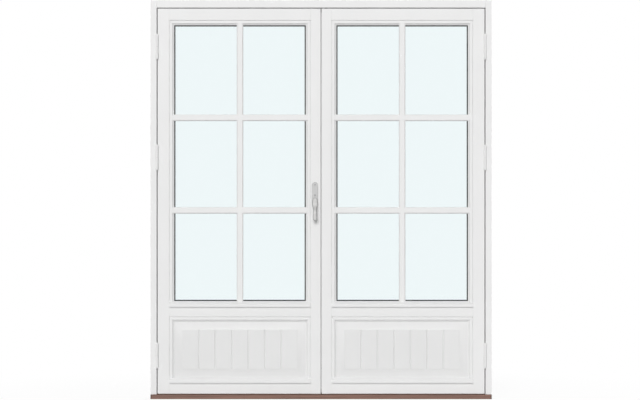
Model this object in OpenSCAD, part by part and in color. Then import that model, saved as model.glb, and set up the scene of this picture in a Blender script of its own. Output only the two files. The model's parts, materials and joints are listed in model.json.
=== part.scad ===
// Outswing double patio door in its frame.
// The outside faces -Y, +Z is up, and the origin is the middle of the threshold's underside.
// The right leaf is the mirror image of the left one, apart from the lock and the bolts.

/* [Frame] */
// Width over the jambs
frame_w = 1780; // [1300:10:2400]
// Height from the threshold's underside to the top of the head
frame_h = 2080; // [1950:10:2400]
// Depth of the jambs and the head, from outside to inside
frame_d = 115; // [100:1:160]
// Width of each jamb seen beside the leaf
jamb_face = 32; // [24:1:60]
// Height of the head seen above the leaf
head_face = 38; // [28:1:70]
// How far the stop stands into the opening
stop_h = 18; // [12:1:26]
// Room between the stop and the leaf, for the gasket
seal_gap = 3; // [2:0.5:6]
// Width of the gasket strip on the stop
frame_gasket_w = 10; // [6:1:11]
// Height of the threshold
threshold_h = 24; // [18:1:40]
// How far the threshold stands out in front of the jambs
threshold_nose = 14; // [4:1:40]
// Fall of the threshold's nose
threshold_fall = 3; // [1:0.5:8]
// Radius of the frame fixing holes in the jambs
fixing_r = 5.5; // [3:0.5:7]
// Distance of the outer fixing holes from the ends of the jamb
fixing_inset = 200; // [100:1:400]
// Distance between the inner pair of fixing holes
fixing_inner = 600; // [300:2:1000]

/* [Leaf] */
// Thickness of the leaf
leaf_t = 60; // [56:1:72]
// Gap round the leaf and between the two leaves
gap = 4; // [3.5:0.5:6]
// Gap between the leaf and the threshold
threshold_gap = 3; // [2:0.5:8]
// Flat face of the hinge stile
hinge_stile_flat = 61; // [45:1:100]
// Flat face of the meeting stile
meeting_stile_flat = 52; // [50:1:100]
// Flat face of the top rail
top_rail_flat = 61; // [40:1:120]
// Flat face of the mid rail
mid_rail_flat = 53; // [40:1:120]
// Flat face of the bottom rail
bottom_rail_flat = 58; // [40:1:120]
// Height of the mid rail's underside
mid_rail_z = 429; // [300:1:700]
// Thickness of the inner lip that the glass and the panel bear on
lip_t = 20; // [14:1:22]
// Eased edge on the outer corner of a stile
edge_ease = 2; // [0.5:0.5:4]

/* [Glass] */
// Thickness of each pane
pane_t = 4; // [3:0.5:6]
// Width of the space between the panes
spacer_t = 16; // [10:1:16]
// Depth of the spacer bar along the glass
spacer_w = 10; // [6:1:12]
// Distance from the edge of the glass to the spacer
spacer_inset = 3; // [1:0.5:5]
// Thickness of the glass gasket and of the glazing tape
gasket_t = 2; // [1:0.5:4]
// Width of the gasket that shows beside the bead
gasket_show = 6; // [2:0.5:10]
// Room between the edge of the glass and the wood
edge_room = 5; // [3:0.5:8]

/* [Beads] */
// Width of the glazing bead
bead_w = 26; // [24:1:40]
// Set-back of the bead from the leaf's face
bead_quirk = 1.5; // [0.5:0.5:3]
// Thickness of the bead at the glass
bead_edge = 2.5; // [2:0.5:6]
// Width of the quirk between the stile and the bead's ridge
quirk_w = 4; // [2:0.5:5]
// Depth of the quirk below the bead's ridge
quirk_d = 3; // [1:0.5:4]
// Width of the bead's slope down to the glass
bead_slope = 9; // [6:0.5:13]
// Width of the bead's flat lip at the glass
bead_lip = 1.5; // [1:0.5:5]
// Open hairline of each mitre
mitre_gap = 0.2; // [0.1:0.1:0.6]
// Height of a weather bead
weather_h = 29; // [26:1:50]
// How far a weather bead stands out of the leaf's face
weather_nose = 10; // [6:0.5:20]
// Height of the weather bead's front face
weather_face = 12; // [8:1:20]
// Width of the drip lip under the weather bead
drip_w = 3; // [2:0.5:4]
// Depth of the drip lip below the rail's edge
drip_h = 2; // [1:0.5:4]

/* [Glazing bars] */
// Width of a bar
bar_w = 34; // [22:1:50]
// Depth of a bar's face below the bead's ridge
bar_below = 0.5; // [0.5:0.5:3]
// Chamfer along each edge of a bar
bar_chamfer = 5; // [2:0.5:8]
// Clear height of the lower and the middle light
light_h = 450; // [300:1:520]

/* [Panel] */
// Width of the sloping margin round the panel's field
panel_margin = 42; // [25:1:60]
// Height of the field above the panel's edge
panel_rise = 7; // [4:0.5:10]
// Step at the edge of the field
field_step = 1.5; // [0.5:0.5:3]
// Boards that the grooves divide the field into
board_count = 7; // [4:1:10]
// Width of a groove
groove_w = 8; // [4:0.5:14]
// Depth of a groove
groove_depth = 4; // [2:0.5:6]
// Room round the panel in its rebate
panel_room = 2; // [1:0.5:4]

/* [Hinges] */
// Height of the lower hinge's joint line above the leaf's foot
lower_hinge_rise = 199; // [100:1:350]
// Depth of the upper hinge's joint line below the leaf's top
upper_hinge_drop = 199; // [100:1:350]
// Distance from the upper hinge down to the middle one
middle_hinge_drop = 579; // [300:1:900]
// Radius of a knuckle
knuckle_r = 7; // [6:0.5:10]
// Height of a knuckle with its tip
knuckle_h = 67; // [50:1:90]
// Height of a knuckle's tapered tip
tip_h = 9; // [4:1:14]
// Radius of the tip's end
tip_r = 4.5; // [2:0.5:5.5]
// Radius of the hinge pin
pin_r = 4; // [3:0.25:4.5]
// Length of the pin in each knuckle
pin_reach = 44; // [25:1:45]
// Radial running clearance of a turning or sliding fit
running_fit = 0.05; // [0.02:0.01:0.1]
// Bearing gap between the two knuckles, and other small working gaps
working_gap = 0.3; // [0.2:0.1:0.6]
// Distance of the knuckle from the leaf's face
knuckle_room = 0.5; // [0.3:0.1:2]
// Thickness of a hinge plate
plate_t = 3; // [2:0.5:4]
// Depth of a hinge plate in the wood
plate_d = 40; // [25:1:50]

/* [Handle] */
// Distance from the leaf's edge to the spindle
backset = 30; // [30:0.5:31]
// Height of the spindle
handle_z = 1030; // [950:1:1100]
// Width of a backplate
backplate_w = 29; // [26:1:36]
// Height of a backplate
backplate_h = 128; // [100:1:200]
// Height of the backplate's top above the spindle
backplate_top = 102; // [70:1:150]
// Thickness of a backplate
backplate_t = 8; // [5:0.5:14]
// Radius of the lever's hub
hub_r = 9; // [7:0.5:12]
// Side of the square spindle
spindle_a = 8; // [7:0.5:9]
// How far the spindle reaches into each lever past the backplate
spindle_grip = 6; // [4:0.5:8]
// Width of the lever at its shoulder
lever_shoulder = 28; // [24:1:34]
// Width of the lever at its waist
lever_waist = 18.5; // [14:0.5:22]
// Width of the lever near its tip
lever_tip = 20.5; // [15:0.5:24]
// Height of the lever above the spindle
lever_head = 20; // [14:1:26]
// Length of the lever below the spindle
lever_len = 99; // [80:1:140]
// Thickness of the lever
lever_t = 11; // [8:0.5:14]
// Distance from the backplate to the lever's head
lever_clear = 3; // [1:0.5:8]
// How far the lever's grip stands out in front of its head
lever_crank = 26; // [15:1:40]
// Distance below the spindle where the lever starts to crank out
crank_start = 6; // [0:1:15]
// Distance below the spindle where the crank ends
crank_end = 62; // [40:1:75]
// Distance below the spindle where the shoulder ends
shoulder_end = 12; // [6:1:20]
// Distance below the spindle where the waist is reached
waist_start = 40; // [30:1:50]

/* [Lock] */
// Travel of the lock bolt over a quarter turn
bolt_throw = 14; // [10:0.5:14]
// Thickness of the lock bolt
bolt_t = 12; // [8:0.5:12]
// Height of the lock bolt
bolt_h = 28; // [20:1:36]
// Length of the lock bolt's head
bolt_head = 21; // [18:0.5:21]
// Thickness of the bolt's tail plate
tail_t = 4; // [3:0.5:4]
// Depth of the lock case behind its faceplate
case_d = 42; // [42:0.5:44]
// Thickness of the lock case
case_t = 16; // [16:0.5:20]
// Wall of the lock case
case_wall = 1.5; // [1:0.25:1.5]
// Radius of the follower
follower_r = 12.5; // [12.5:0.1:12.9]
// Thickness of the follower
follower_t = 5; // [4:0.5:5]
// Radius of the crank pin on the follower
crank_pin_r = 2.5; // [2:0.1:2.5]
// Play of the crank pin in the bolt's fork
fork_play = 0.5; // [0.4:0.1:0.8]
// Height of the lock's faceplate
faceplate_h = 180; // [140:1:240]
// Width of the faceplates and the strike plates
faceplate_w = 20; // [18:1:24]
// Thickness of the faceplates and the strike plates
faceplate_t = 3; // [2:0.5:4]
// Room between the follower and the bolt above it
bolt_room = 3; // [2:0.5:6]
// Room in the lock case below the follower
case_foot = 8; // [4:0.5:20]
// Room in the lock case above the bolt
case_top = 4; // [2:0.5:20]
// Rim of the strike plate above and below the bolt
strike_rim = 25; // [15:1:50]
// Depth of the pocket behind the strike plate
strike_pocket = 13; // [13:0.5:20]

/* [Flush bolts] */
// Radius of a flush bolt
flush_r = 5; // [4:0.5:7]
// Length of a flush bolt
flush_len = 190; // [150:1:300]
// Travel of a flush bolt
flush_throw = 18; // [10:1:20]
// Distance from the leaf's edge to the flush bolt
flush_x = 22; // [18:1:30]
// Height of the thumb piece
thumb_h = 20; // [12:1:30]
// Thickness of the thumb piece
thumb_t = 6; // [4:0.5:8]
// Distance of the thumb piece from the bolt's inner end
thumb_inset = 10; // [5:1:20]
// Rim of a flush bolt's faceplate above and below its slot
flush_rim = 20; // [10:1:40]
// Length of the strikes in the head and the threshold
strike_len = 44; // [30:1:50]
// Width of a meeting seal
seal_w = 5; // [3:0.5:5]
// How far a meeting seal stands out of its leaf's edge
seal_proud = 1.4; // [0.3:0.1:1.4]
// Wood between the plates and the left leaf's seal
seal_wood = 1; // [0.5:0.5:2]
// Distance from the left leaf's seal in to the right leaf's seal
seal_step = 8; // [6:0.5:8]

/* [Hidden] */
$fn = 48;
// A little more than a wall, so that a cut goes right through it
through = 1;

// Planes from outside to inside
front = -frame_d / 2;
back = frame_d / 2;
leaf_back = front + leaf_t;
leaf_mid = front + leaf_t / 2;
stop_y = leaf_back + seal_gap;
lip_y = leaf_back - lip_t;
inner_pane_y = lip_y - gasket_t - pane_t;
spacer_y = inner_pane_y - spacer_t;
glass_y = spacer_y - pane_t;
bead_y = glass_y - gasket_t;
bead_t = bead_y - front;
bead_ridge = bead_t - bead_quirk;
// A bar laps over the bead as far as the ridge, and is coped to the slope
bar_lap = bead_slope + bead_lip;
bar_t = bead_ridge - bar_below;
// Facets of the bead's slope
bead_steps = 6;

// Opening of the frame, and the left leaf in it
half_w = frame_w / 2;
rebate_x = half_w - jamb_face;
stop_x = rebate_x - stop_h;
head_z = frame_h - head_face;
fixing_y = (stop_y + back) / 2;
fixing_z = (threshold_h + frame_h) / 2;
fixing_outer = frame_h - threshold_h - 2 * fixing_inset;
leaf_x0 = -rebate_x + gap;
leaf_x1 = -gap / 2;
leaf_z0 = threshold_h + threshold_gap;
leaf_z1 = head_z - gap;

// Rebated openings of the leaf, and their sight lines inside the beads
open_x0 = leaf_x0 + hinge_stile_flat;
open_x1 = leaf_x1 - meeting_stile_flat;
panel_z0 = leaf_z0 + bottom_rail_flat;
panel_z1 = mid_rail_z;
glass_z0 = mid_rail_z + mid_rail_flat;
glass_z1 = leaf_z1 - top_rail_flat;
sight_x0 = open_x0 + bead_w;
sight_x1 = open_x1 - bead_w;
sight_mid = (sight_x0 + sight_x1) / 2;
lower_bar_z = glass_z0 + weather_h + gasket_show + light_h + bar_w / 2;
upper_bar_z = lower_bar_z + light_h + bar_w;

// Hinge axis
upper_hinge_z = leaf_z1 - upper_hinge_drop;
hinge_zs = [leaf_z0 + lower_hinge_rise, upper_hinge_z - middle_hinge_drop, upper_hinge_z];
axis_x = -rebate_x + gap / 2;
axis_y = front - knuckle_r - knuckle_room;

// Lock and handle
handle_x = leaf_x1 - backset;
crank_r = bolt_throw / (2 * sin(45));
bolt_z0 = handle_z + follower_r + bolt_room;
case_x0 = leaf_x1 - faceplate_t - case_d;
case_x1 = leaf_x1 - faceplate_t;
case_z0 = handle_z - follower_r - case_foot;
case_z1 = bolt_z0 + bolt_h + case_top;
bolt_face = leaf_x1 - working_gap;
bolt_y0 = leaf_mid - bolt_t / 2;
bolt_y1 = leaf_mid + bolt_t / 2;
follower_y0 = leaf_mid - case_t / 2 + case_wall + working_gap;
tail_y1 = leaf_mid + case_t / 2 - case_wall - working_gap;

// Flush bolts
flush_cx = leaf_x1 - flush_x;
flush_bolt_z1 = leaf_z1 - working_gap;
flush_bolt_z0 = leaf_z0 + working_gap;
top_thumb_z = flush_bolt_z1 - flush_len + thumb_inset;
bottom_thumb_z = flush_bolt_z0 + flush_len - thumb_inset - thumb_h;
flush_plate_h = thumb_h + flush_throw + 2 * flush_rim;

// Finishes
WHITE = "#ececea";
GLASS = [0.86, 0.93, 0.94, 0.35];
RUBBER = "#3a3e40";
STEEL = "#b9bbbc";
ALLOY = "#c9cccd";
HARDWOOD = "#7a5a4e";

LEAF_NODES = [
    "hinge_stile", "meeting_stile", "top_rail", "mid_rail", "bottom_rail",
    "outer_pane", "inner_pane", "glass_spacer", "glass_gasket", "glazing_tape",
    "beads", "glass_weather_bead", "panel", "panel_weather_bead",
    "vertical_bar", "upper_bar", "lower_bar", "leaf_hinge_halves"
];

// Helpers: a block between two corners, and outlines drawn along each axis
module block(from, to) translate(from) cube(to - from);
module along_x(x0, x1) translate([x0, 0, 0]) rotate([90, 0, 90]) linear_extrude(x1 - x0) children();
module along_y(y0, y1) translate([0, y1, 0]) rotate([90, 0, 0]) linear_extrude(y1 - y0) children();
module along_z(z0, z1) translate([0, 0, z0]) linear_extrude(z1 - z0) children();
module rod_y(x, z, y0, y1, r) translate([x, y1, z]) rotate([90, 0, 0]) cylinder(r = r, h = y1 - y0);
module on_side(right) if (right) mirror([1, 0, 0]) children(); else children();

// A ring between an outer and an inner rectangle
module ring(from, to, inner_from, inner_to) {
    difference() {
        block(from, to);
        block([inner_from.x, from.y - through, inner_from.y], [inner_to.x, to.y + through, inner_to.y]);
    }
}

// Frame
module jamb(right) {
    color(WHITE) on_side(right) difference() {
        along_z(threshold_h, frame_h) polygon([
            [-half_w, front], [-rebate_x - edge_ease, front], [-rebate_x, front + edge_ease],
            [-rebate_x, stop_y], [-stop_x, stop_y], [-stop_x, back], [-half_w, back]
        ]);
        for (z = hinge_zs) frame_plate(z);
        for (offset = [-fixing_outer, -fixing_inner, fixing_inner, fixing_outer])
            translate([-half_w - through, fixing_y, fixing_z + offset / 2]) rotate([0, 90, 0])
                cylinder(r = fixing_r, h = jamb_face + stop_h + 2 * through);
    }
}

module head() {
    color(WHITE) difference() {
        union() {
            along_x(-rebate_x, rebate_x) polygon([
                [front, frame_h], [front, head_z + edge_ease], [front + edge_ease, head_z],
                [stop_y, head_z], [stop_y, frame_h]
            ]);
            block([-stop_x, stop_y, head_z - stop_h], [stop_x, back, frame_h]);
        }
        strike_recess(head_z, 1);
    }
}

module threshold() {
    color(HARDWOOD) difference() {
        union() {
            along_x(-half_w, half_w) polygon([
                [front - threshold_nose, 0], [front - threshold_nose, threshold_h - threshold_fall],
                [front, threshold_h], [back, threshold_h], [back, 0]
            ]);
            block([-stop_x, stop_y, threshold_h], [stop_x, back, threshold_h + threshold_gap + stop_h]);
        }
        strike_recess(threshold_h, -1);
    }
}

module frame_gasket() {
    gasket_x = stop_x + frame_gasket_w;
    stop_z0 = threshold_h + threshold_gap + stop_h;
    stop_z1 = head_z - stop_h;
    color(RUBBER) ring(
        [-gasket_x, leaf_back + working_gap, stop_z0 - frame_gasket_w],
        [gasket_x, stop_y, stop_z1 + frame_gasket_w],
        [-stop_x, stop_z0], [stop_x, stop_z1]
    );
}

// Strike for a flush bolt: dir is 1 in the head and -1 in the threshold
module at_strike(z, dir) {
    translate([-flush_cx, leaf_mid, z]) mirror([0, 0, dir < 0 ? 1 : 0]) children();
}
module strike_blank(past) {
    translate([-faceplate_w / 2, -strike_len / 2, -past]) cube([faceplate_w, strike_len, faceplate_t + past]);
}
module strike_hole() {
    translate([0, 0, -through]) cylinder(r = flush_r + working_gap, h = flush_throw + through);
}
module strike_recess(z, dir) {
    at_strike(z, dir) {
        strike_blank(through);
        strike_hole();
    }
}
module flush_strike(z, dir) {
    color(STEEL) at_strike(z, dir) difference() {
        strike_blank(0);
        strike_hole();
    }
}

// Hinges: the frame half and its pin stand below the joint line, and the leaf half turns above it
module knuckle(z, h, bore_r, bore_h) {
    translate([axis_x, axis_y, z]) difference() {
        union() {
            cylinder(r = knuckle_r, h = h - tip_h);
            translate([0, 0, h - tip_h]) cylinder(r1 = knuckle_r, r2 = tip_r, h = tip_h);
        }
        translate([0, 0, -through]) cylinder(r = bore_r, h = bore_h + through);
    }
}
module frame_plate(z) {
    block([-rebate_x - plate_t, axis_y, z - knuckle_h + tip_h], [-rebate_x, front + plate_d, z]);
}
module leaf_plate(z) {
    block([leaf_x0, axis_y, z + working_gap], [leaf_x0 + plate_t, front + plate_d, z + knuckle_h - tip_h]);
}
module frame_hinge_halves() {
    color(WHITE) for (right = [false, true]) on_side(right) for (z = hinge_zs) difference() {
        union() {
            translate([0, 0, 2 * z]) mirror([0, 0, 1]) knuckle(z, knuckle_h, pin_r, pin_reach);
            frame_plate(z);
        }
        translate([axis_x, axis_y, z - pin_reach]) cylinder(r = pin_r, h = pin_reach + through);
    }
}
module hinge_pins() {
    color(STEEL) for (right = [false, true]) on_side(right) for (z = hinge_zs)
        translate([axis_x, axis_y, z - pin_reach]) cylinder(r = pin_r, h = 2 * pin_reach);
}
module leaf_hinge_halves(right) {
    bore_r = pin_r + running_fit;
    color(WHITE) on_side(right) for (z = hinge_zs) difference() {
        union() {
            knuckle(z + working_gap, knuckle_h - working_gap, bore_r, pin_reach);
            leaf_plate(z);
        }
        translate([axis_x, axis_y, z]) cylinder(r = bore_r, h = pin_reach + working_gap);
    }
}

// Stiles and rails: a front part with the flat face, and an inner lip that the rails are coped round
module hinge_stile(right) {
    color(WHITE) on_side(right) difference() {
        along_z(leaf_z0, leaf_z1) polygon([
            [leaf_x0, front + edge_ease], [leaf_x0 + edge_ease, front], [open_x0, front],
            [open_x0, lip_y], [sight_x0, lip_y], [sight_x0, leaf_back], [leaf_x0, leaf_back]
        ]);
        for (z = hinge_zs) leaf_plate(z);
    }
}
module meeting_stile(right) {
    color(WHITE) on_side(right) difference() {
        along_z(leaf_z0, leaf_z1) polygon([
            [leaf_x1, front + edge_ease], [leaf_x1 - edge_ease, front], [open_x1, front],
            [open_x1, lip_y], [sight_x1, lip_y], [sight_x1, leaf_back], [leaf_x1, leaf_back]
        ]);
        if (right) {
            strike_plate_blank(through);
            bolt_way(strike_pocket + faceplate_t);
            flush_bolt_ways();
            seal_strip(seal_step);
        } else {
            seal_strip(0);
            faceplate_blank(through);
            case_blank(through);
            rod_y(handle_x, handle_z, front - through, leaf_back + through, hub_r + working_gap);
        }
    }
}
module rail(right, z0, z1, lip_below, lip_above) {
    color(WHITE) on_side(right) {
        block([open_x0, front, z0], [open_x1, lip_y, z1]);
        block([sight_x0, lip_y, z0 - lip_below], [sight_x1, leaf_back, z1 + lip_above]);
    }
}

// Glass unit
module pane(right, y) {
    color(GLASS) on_side(right) block(
        [open_x0 + edge_room, y, glass_z0 + edge_room], [open_x1 - edge_room, y + pane_t, glass_z1 - edge_room]
    );
}
module glass_ring(right, finish, y, t, outer, inner_side, inner_bottom, inner_top) {
    color(finish) on_side(right) ring(
        [open_x0 + outer, y, glass_z0 + outer], [open_x1 - outer, y + t, glass_z1 - outer],
        [open_x0 + inner_side, glass_z0 + inner_bottom], [open_x1 - inner_side, glass_z1 - inner_top]
    );
}
module glass_spacer(right) {
    outer = edge_room + spacer_inset;
    inner = outer + spacer_w;
    glass_ring(right, ALLOY, spacer_y, spacer_t, outer, inner, inner, inner);
}
module glass_gasket(right) {
    show = gasket_show;
    glass_ring(right, RUBBER, bead_y, gasket_t, edge_room, bead_w + show, weather_h + show, bead_w + show);
}
module glazing_tape(right) {
    glass_ring(right, RUBBER, lip_y - gasket_t, gasket_t, edge_room, bead_w, bead_w, bead_w);
}

// Beads: across the bead from the wood to the glass, and up from its back
function bead_section() = [
    [0, 0], [0, bead_ridge - quirk_d], [quirk_w / 2, bead_ridge - quirk_d], [quirk_w, bead_ridge],
    for (i = [0 : bead_steps]) let (t = i / bead_steps) [
        bead_w - bar_lap + bead_slope * t, bead_ridge - (bead_ridge - bead_edge) * t * (4 - t) / 3
    ],
    [bead_w, bead_edge], [bead_w, 0]
];
module side_bead(x, dir, z0, z1) {
    reach = bead_w + through;
    intersection() {
        along_z(z0, z1) polygon([for (p = bead_section()) [x + dir * p.x, bead_y - p.y]]);
        along_y(front - through, bead_y + through) polygon([
            [x - dir * through, z0 - through], [x - dir * through, z1 + through - mitre_gap],
            [x + dir * reach, z1 - reach - mitre_gap], [x + dir * reach, z0 - through]
        ]);
    }
}
module top_bead(z1) {
    reach = bead_w + through;
    intersection() {
        along_x(open_x0, open_x1) polygon([for (p = bead_section()) [bead_y - p.y, z1 - p.x]]);
        along_y(front - through, bead_y + through) polygon([
            [open_x0 - through, z1 + through], [open_x1 + through, z1 + through],
            [open_x1 - reach, z1 - reach], [open_x0 + reach, z1 - reach]
        ]);
    }
}
module bead_set(z0, z1) {
    top_bead(z1);
    difference() {
        union() {
            side_bead(open_x0, 1, z0, z1);
            side_bead(open_x1, -1, z0, z1);
        }
        weather_bead_body(z0);
    }
}
module beads(right) {
    color(WHITE) on_side(right) {
        bead_set(glass_z0, glass_z1);
        bead_set(panel_z0, panel_z1);
    }
}
module weather_bead_body(z) {
    nose_y = front - weather_nose;
    throat_y = front - working_gap;
    along_x(open_x0, open_x1) polygon([
        [bead_y, z], [throat_y, z], [throat_y, z + drip_h], [nose_y + drip_w, z + drip_h],
        [nose_y + drip_w, z - drip_h], [nose_y, z - drip_h], [nose_y, z + weather_face],
        [bead_y - bead_edge, z + weather_h], [bead_y, z + weather_h]
    ]);
}
module weather_bead(right, z) {
    color(WHITE) on_side(right) weather_bead_body(z);
}

// Panel: a raised field of grooved boards inside a sloping margin
module panel(right) {
    field_y = bead_y - panel_rise;
    slope_y = field_y + field_step;
    sight_z0 = panel_z0 + weather_h;
    sight_z1 = panel_z1 - bead_w;
    field_x0 = sight_x0 + panel_margin;
    field_x1 = sight_x1 - panel_margin;
    field_z0 = sight_z0 + panel_margin;
    field_z1 = sight_z1 - panel_margin;
    board_w = (field_x1 - field_x0) / board_count;
    color(WHITE) on_side(right) difference() {
        union() {
            block([open_x0 + panel_room, bead_y, panel_z0 + panel_room],
                  [open_x1 - panel_room, lip_y, panel_z1 - panel_room]);
            difference() {
                block([sight_x0, slope_y, sight_z0], [sight_x1, bead_y + through, sight_z1]);
                along_z(sight_z0 - through, sight_z1 + through) margin_cut(sight_x0, 1, slope_y);
                along_z(sight_z0 - through, sight_z1 + through) margin_cut(sight_x1, -1, slope_y);
                along_x(sight_x0 - through, sight_x1 + through) rotate(90) mirror([0, 1]) margin_cut(sight_z0, 1, slope_y);
                along_x(sight_x0 - through, sight_x1 + through) rotate(90) mirror([0, 1]) margin_cut(sight_z1, -1, slope_y);
            }
            block([field_x0, field_y, field_z0], [field_x1, bead_y, field_z1]);
        }
        for (i = [1 : board_count - 1])
            along_z(field_z0, field_z1) translate([field_x0 + i * board_w, field_y]) polygon([
                [-groove_w / 2, -through], [-groove_w / 2, 0], [0, groove_depth],
                [groove_w / 2, 0], [groove_w / 2, -through]
            ]);
    }
}
// Wedge that slopes a margin from the bead at a sight line up to the field
module margin_cut(sight, dir, slope_y) {
    polygon([[sight, bead_y], [sight + dir * panel_margin, slope_y], [sight, slope_y - through],
             [sight - dir * through, slope_y - through], [sight - dir * through, bead_y]]);
}

// Glazing bars, coped over the beads
function bar_section() = [
    [-bar_w / 2, 0], [-bar_w / 2, bar_t - bar_chamfer], [-bar_w / 2 + bar_chamfer, bar_t],
    [bar_w / 2 - bar_chamfer, bar_t], [bar_w / 2, bar_t - bar_chamfer], [bar_w / 2, 0]
];
module vertical_bar_body() {
    difference() {
        along_z(glass_z0 + weather_h - bar_lap, glass_z1 - bead_w + bar_lap)
            polygon([for (p = bar_section()) [sight_mid + p.x, bead_y - p.y]]);
        top_bead(glass_z1);
        weather_bead_body(glass_z0);
    }
}
module vertical_bar(right) {
    color(WHITE) on_side(right) vertical_bar_body();
}
module cross_bar(right, z) {
    color(WHITE) on_side(right) difference() {
        along_x(sight_x0 - bar_lap, sight_x1 + bar_lap)
            polygon([for (p = bar_section()) [bead_y - p.y, z + p.x]]);
        vertical_bar_body();
        side_bead(open_x0, 1, glass_z0, glass_z1);
        side_bead(open_x1, -1, glass_z0, glass_z1);
    }
}

// Lock: the follower's crank pin drives the bolt's fork
module faceplate_blank(past = 0) {
    block([case_x1, leaf_mid - faceplate_w / 2, handle_z + bolt_h - faceplate_h / 2],
          [leaf_x1 + past, leaf_mid + faceplate_w / 2, handle_z + bolt_h + faceplate_h / 2]);
}
module case_blank(past = 0) {
    block([case_x0, leaf_mid - case_t / 2, case_z0], [case_x1 + past, leaf_mid + case_t / 2, case_z1]);
}
// Way of the lock bolt into an edge, with its working gap
module bolt_way(depth) {
    block([leaf_x1 - depth, bolt_y0 - working_gap, bolt_z0 - working_gap],
          [leaf_x1 + through, bolt_y1 + working_gap, bolt_z0 + bolt_h + working_gap]);
}
module lock_case() {
    wall = case_wall;
    color(STEEL) difference() {
        case_blank();
        block([case_x0 + wall, leaf_mid - case_t / 2 + wall, case_z0 + wall],
              [case_x1 + through, leaf_mid + case_t / 2 - wall, case_z1 - wall]);
        rod_y(handle_x, handle_z, front, leaf_back, hub_r);
    }
}
module lock_faceplate() {
    color(STEEL) difference() {
        faceplate_blank();
        bolt_way(faceplate_t + through);
    }
}
module lock_bolt() {
    fork_x = handle_x - crank_r * sin(45);
    fork_half = crank_pin_r + fork_play;
    tail_x0 = case_x0 + case_wall + working_gap;
    tail_z0 = handle_z + spindle_a * sin(45) + 2 * working_gap;
    color(STEEL) difference() {
        union() {
            block([bolt_face - bolt_head, bolt_y0, bolt_z0], [bolt_face, bolt_y1, bolt_z0 + bolt_h]);
            block([tail_x0, tail_y1 - tail_t, tail_z0],
                  [bolt_face - bolt_head + through, tail_y1, bolt_z0 + bolt_h]);
        }
        block([fork_x - fork_half, tail_y1 - tail_t - through, tail_z0 - through],
              [fork_x + fork_half, tail_y1 + through, handle_z + crank_r + fork_half]);
    }
}
module lock_follower() {
    color(STEEL) difference() {
        union() {
            rod_y(handle_x, handle_z, follower_y0, follower_y0 + follower_t, follower_r);
            rod_y(handle_x - crank_r * sin(45), handle_z + crank_r * cos(45),
                  follower_y0, tail_y1, crank_pin_r);
        }
        spindle_bar(front, leaf_back);
    }
}

// Handle: one spindle with a lever at each end
module spindle_bar(y0, y1) {
    half = spindle_a / 2;
    block([handle_x - half, y0, handle_z - half], [handle_x + half, y1, handle_z + half]);
}
module spindle() {
    reach = backplate_t + spindle_grip;
    color(STEEL) spindle_bar(front - reach, leaf_back + reach);
}
// The inside furniture is the outside furniture turned about the leaf's middle plane
module on_face(inside) {
    if (inside) translate([0, 2 * leaf_mid, 0]) mirror([0, 1, 0]) children();
    else children();
}
module backplate(inside) {
    end_r = backplate_w / 2;
    top_z = handle_z + backplate_top - end_r;
    bottom_z = handle_z + backplate_top - backplate_h + end_r;
    color(ALLOY) on_face(inside) difference() {
        along_y(front - backplate_t, front) union() {
            translate([handle_x - end_r, bottom_z]) square([backplate_w, top_z - bottom_z]);
            for (z = [bottom_z, top_z]) translate([handle_x, z]) circle(r = end_r);
        }
        rod_y(handle_x, handle_z, front - backplate_t - through, front + through, hub_r + running_fit);
    }
}
// Smooth step from 0 to 1 between two places along the lever
function ease(s, a, b) = let (t = min(1, max(0, (s - a) / (b - a)))) t * t * (3 - 2 * t);
function lever_half(s) =
    let (body = lever_shoulder / 2 + (lever_waist - lever_shoulder) / 2 * ease(s, shoulder_end, waist_start),
         grip = body + (lever_tip - lever_waist) / 2 * ease(s, waist_start, lever_len),
         head_end = sqrt(max(0, 1 - pow(max(0, -s) / lever_head, 2))),
         tip_start = lever_len - lever_tip / 2,
         tip_end = sqrt(max(0, 1 - pow(max(0, s - tip_start) / (lever_tip / 2), 2))))
    grip * head_end * tip_end;
// Stations along the lever, closer together in its round ends
function lever_stations() = concat(
    [for (a = [90 : -15 : 15]) -lever_head * sin(a)],
    [for (i = [0 : 10]) i * crank_end / 10],
    [for (a = [0 : 15 : 90]) lever_len - lever_tip / 2 * (1 - sin(a))]
);
function lever_front(s) = front - backplate_t - lever_clear - lever_t - lever_crank * ease(s, crank_start, crank_end);
module lever(inside) {
    stations = lever_stations();
    last = len(stations) - 1;
    color(ALLOY) on_face(inside) difference() {
        union() {
            intersection() {
                along_y(front - frame_d, front) polygon(concat(
                    [for (s = stations) [handle_x + lever_half(s), handle_z - s]],
                    [for (i = [last - 1 : -1 : 1]) [handle_x - lever_half(stations[i]), handle_z - stations[i]]]
                ));
                along_x(handle_x - lever_shoulder, handle_x + lever_shoulder) polygon(concat(
                    [for (s = stations) [lever_front(s), handle_z - s]],
                    [for (i = [last : -1 : 0]) [lever_front(stations[i]) + lever_t, handle_z - stations[i]]]
                ));
            }
            rod_y(handle_x, handle_z, front - backplate_t - lever_clear - lever_t / 2, front, hub_r);
        }
        spindle_bar(front - backplate_t - spindle_grip, front + through);
    }
}

// Right leaf's meeting edge: strike, flush bolts and seal
module strike_plate_blank(past = 0) {
    block([case_x1, leaf_mid - faceplate_w / 2, bolt_z0 - strike_rim],
          [leaf_x1 + past, leaf_mid + faceplate_w / 2, bolt_z0 + bolt_h + strike_rim]);
}
module strike_plate() {
    color(STEEL) on_side(true) difference() {
        strike_plate_blank();
        bolt_way(faceplate_t + through);
    }
}
module flush_rod(z0, z1, r) translate([flush_cx, leaf_mid, z0]) cylinder(r = r, h = z1 - z0);
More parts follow.
